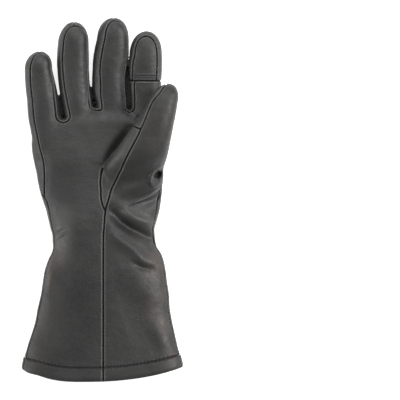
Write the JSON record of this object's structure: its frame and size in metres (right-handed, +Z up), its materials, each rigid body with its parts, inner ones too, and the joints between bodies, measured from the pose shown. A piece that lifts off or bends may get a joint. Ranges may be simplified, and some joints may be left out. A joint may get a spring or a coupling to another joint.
{
  "type": "heated gauntlet glove",
  "caption": "Padded leather gauntlet glove with a flared cuff for a right hand, lying palm up, with an open cuff, fingers and thumb for a hand to go in.",
  "frame": {"origin": "middle of the glove's bounding box on the surface it lies on", "axes": "+Z up out of the palm, +Y from the cuff to the fingertips, +X towards the thumb's side"},
  "size_m": [0.1606, 0.362, 0.0617],
  "materials": {
    "leather": "dark charcoal grey smooth leather with a fine grain and a satin sheen",
    "lining": "dark brushed lining seen inside the cuff's mouth",
    "thread": "dark waxed sewing thread"
  },
  "bodies": {
    "root": {"palm_panel": "leather", "thumb_cuff_panel": "leather", "thumb_gusset": "leather", "thumb_tip_inner": "leather", "index_tip_panel": "leather", "index_tip_side": "leather", "fourchette_index_middle": "leather", "fourchette_middle_ring": "leather", "fourchette_ring_little": "leather", "little_side_strip": "leather", "index_side_strip": "leather", "back_panel": "leather"}
  },
  "joints": []
}
